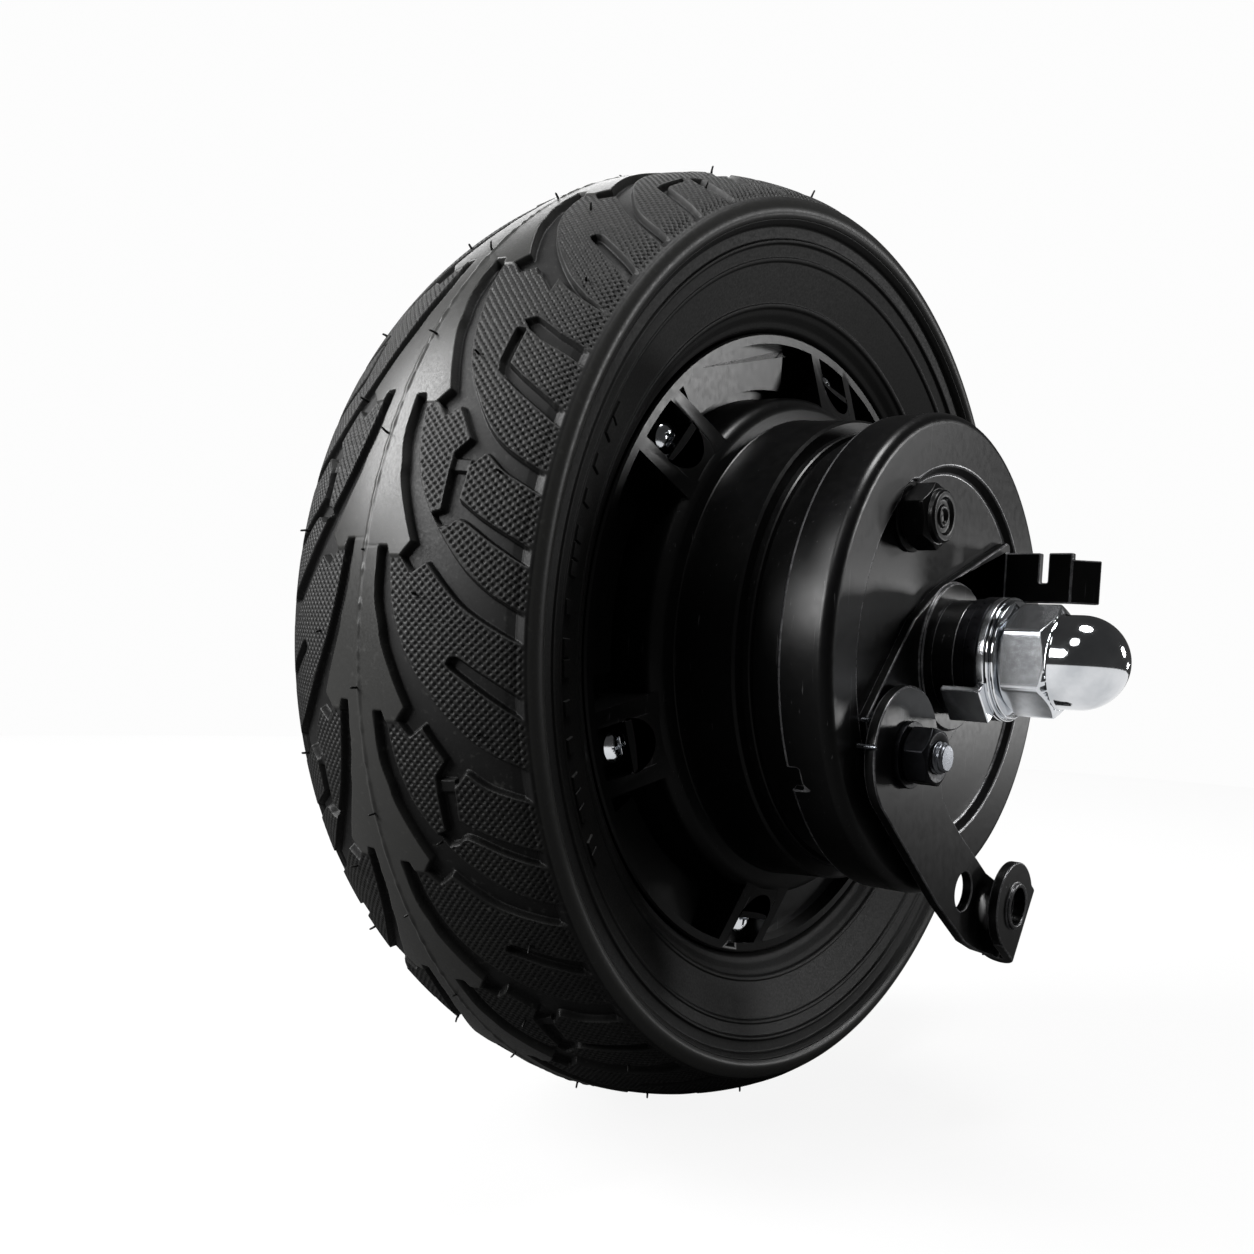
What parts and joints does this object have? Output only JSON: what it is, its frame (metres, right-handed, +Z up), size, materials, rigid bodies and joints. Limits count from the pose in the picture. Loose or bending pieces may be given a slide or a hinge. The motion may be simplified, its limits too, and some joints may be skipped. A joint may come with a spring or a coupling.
{
  "type": "hub motor wheel",
  "caption": "Small solid-tyred hub motor wheel with a drum brake, its lever and cable stop, on a threaded axle with an acorn nut.",
  "frame": {"origin": "centre of the wheel: the middle plane of the tyre, on the axle's axis", "axes": "+Y along the axle towards the plain end, -Y is the brake side, +Z up with the brake lever pointing down"},
  "size_m": [0.2, 0.1561, 0.2],
  "materials": {
    "tyre": "moulded black rubber",
    "cast_black": "semi-gloss black paint on a casting",
    "screw_chrome": "bright chrome plate",
    "steel": "turned steel",
    "magnet_nickel": "nickel plate",
    "rubber": "moulded rubber",
    "brass": "machined brass",
    "black_steel": "black coated sheet steel",
    "dark_zinc": "black zinc",
    "aluminium": "die-cast aluminium",
    "core_steel": "stacked sheet steel",
    "copper": "enamelled copper wire",
    "board_green": "solder mask",
    "lining": "bonded friction lining",
    "spring_steel": "bright spring wire"
  },
  "bodies": {
    "axle": {"axle": "steel", "inner_race_brake_side": "steel", "inner_race_plain_side": "steel", "stator_carrier": "aluminium", "stator_core": "core_steel", "stator_coils": "copper", "hall_sensor_board": "board_green", "brake_sleeve": "steel", "brake_plate": "cast_black", "torque_bolt": "black_steel", "anchor_pin": "steel", "cam_bush": "brass", "cable_bracket": "black_steel", "axle_spacer": "black_steel", "dark_washers": "dark_zinc", "tab_washer": "screw_chrome", "chrome_washers": "screw_chrome", "acorn_nut": "screw_chrome", "plain_spacer": "black_steel", "plain_tab_washer": "screw_chrome", "plain_washer": "screw_chrome", "plain_nut": "screw_chrome", "wire_grommet": "rubber", "lever_spring": "spring_steel", "shoe_spring": "spring_steel"},
    "wheel": {"tyre": "tyre", "hub_shell": "cast_black", "brake_side_cover": "cast_black", "plain_side_cover": "cast_black", "brake_side_screws": "screw_chrome", "plain_side_screws": "screw_chrome", "drum_liner": "steel", "rotor_iron": "steel", "rotor_magnets": "magnet_nickel", "outer_race_brake_side": "steel", "outer_race_plain_side": "steel", "seal_brake_side": "rubber", "seal_plain_side": "rubber"},
    "balls_brake": {"balls_brake_side": "steel", "cage_brake_side": "brass"},
    "balls_plain": {"balls_plain_side": "steel", "cage_plain_side": "brass"},
    "lever": {"brake_cam": "steel", "brake_lever": "black_steel", "lever_washer": "black_steel", "lever_nut": "black_steel"},
    "upper_shoe": {"upper_shoe": "aluminium", "upper_lining": "lining"},
    "lower_shoe": {"lower_shoe": "aluminium", "lower_lining": "lining"}
  },
  "joints": [
    {"name": "wheel_spin", "type": "hinge", "parent": "axle", "child": "wheel", "pos_m": [0, 0, 0], "axis": [0, 1, 0], "continuous": true},
    {"name": "balls_brake_spin", "type": "hinge", "parent": "axle", "child": "balls_brake", "pos_m": [0, 0, 0], "axis": [0, 1, 0], "continuous": true},
    {"name": "balls_plain_spin", "type": "hinge", "parent": "axle", "child": "balls_plain", "pos_m": [0, 0, 0], "axis": [0, 1, 0], "continuous": true},
    {"name": "brake_lever_turn", "type": "hinge", "parent": "axle", "child": "lever", "pos_m": [-0.0234, -0.062, -0.0182], "axis": [0, -1, 0], "range_deg": [0, 20], "stiffness_Nm_per_rad": 0.8, "springref_deg": -20.05, "deforming": ["lever_spring"]},
    {"name": "upper_shoe_turn", "type": "hinge", "parent": "axle", "child": "upper_shoe", "pos_m": [0.0234, -0.04, 0.0182], "axis": [0, 1, 0], "range_deg": [0, 1.05], "deforming": ["shoe_spring"]},
    {"name": "lower_shoe_turn", "type": "hinge", "parent": "axle", "child": "lower_shoe", "pos_m": [0.0234, -0.04, 0.0182], "axis": [0, -1, 0], "range_deg": [0, 1.05]}
  ],
  "couplings": [
    {"joint": "balls_brake_spin", "follows": "wheel_spin", "ratio": 0.616},
    {"joint": "balls_plain_spin", "follows": "wheel_spin", "ratio": 0.616},
    {"joint": "upper_shoe_turn", "follows": "brake_lever_turn", "ratio": 0.0525},
    {"joint": "lower_shoe_turn", "follows": "brake_lever_turn", "ratio": 0.0525}
  ]
}
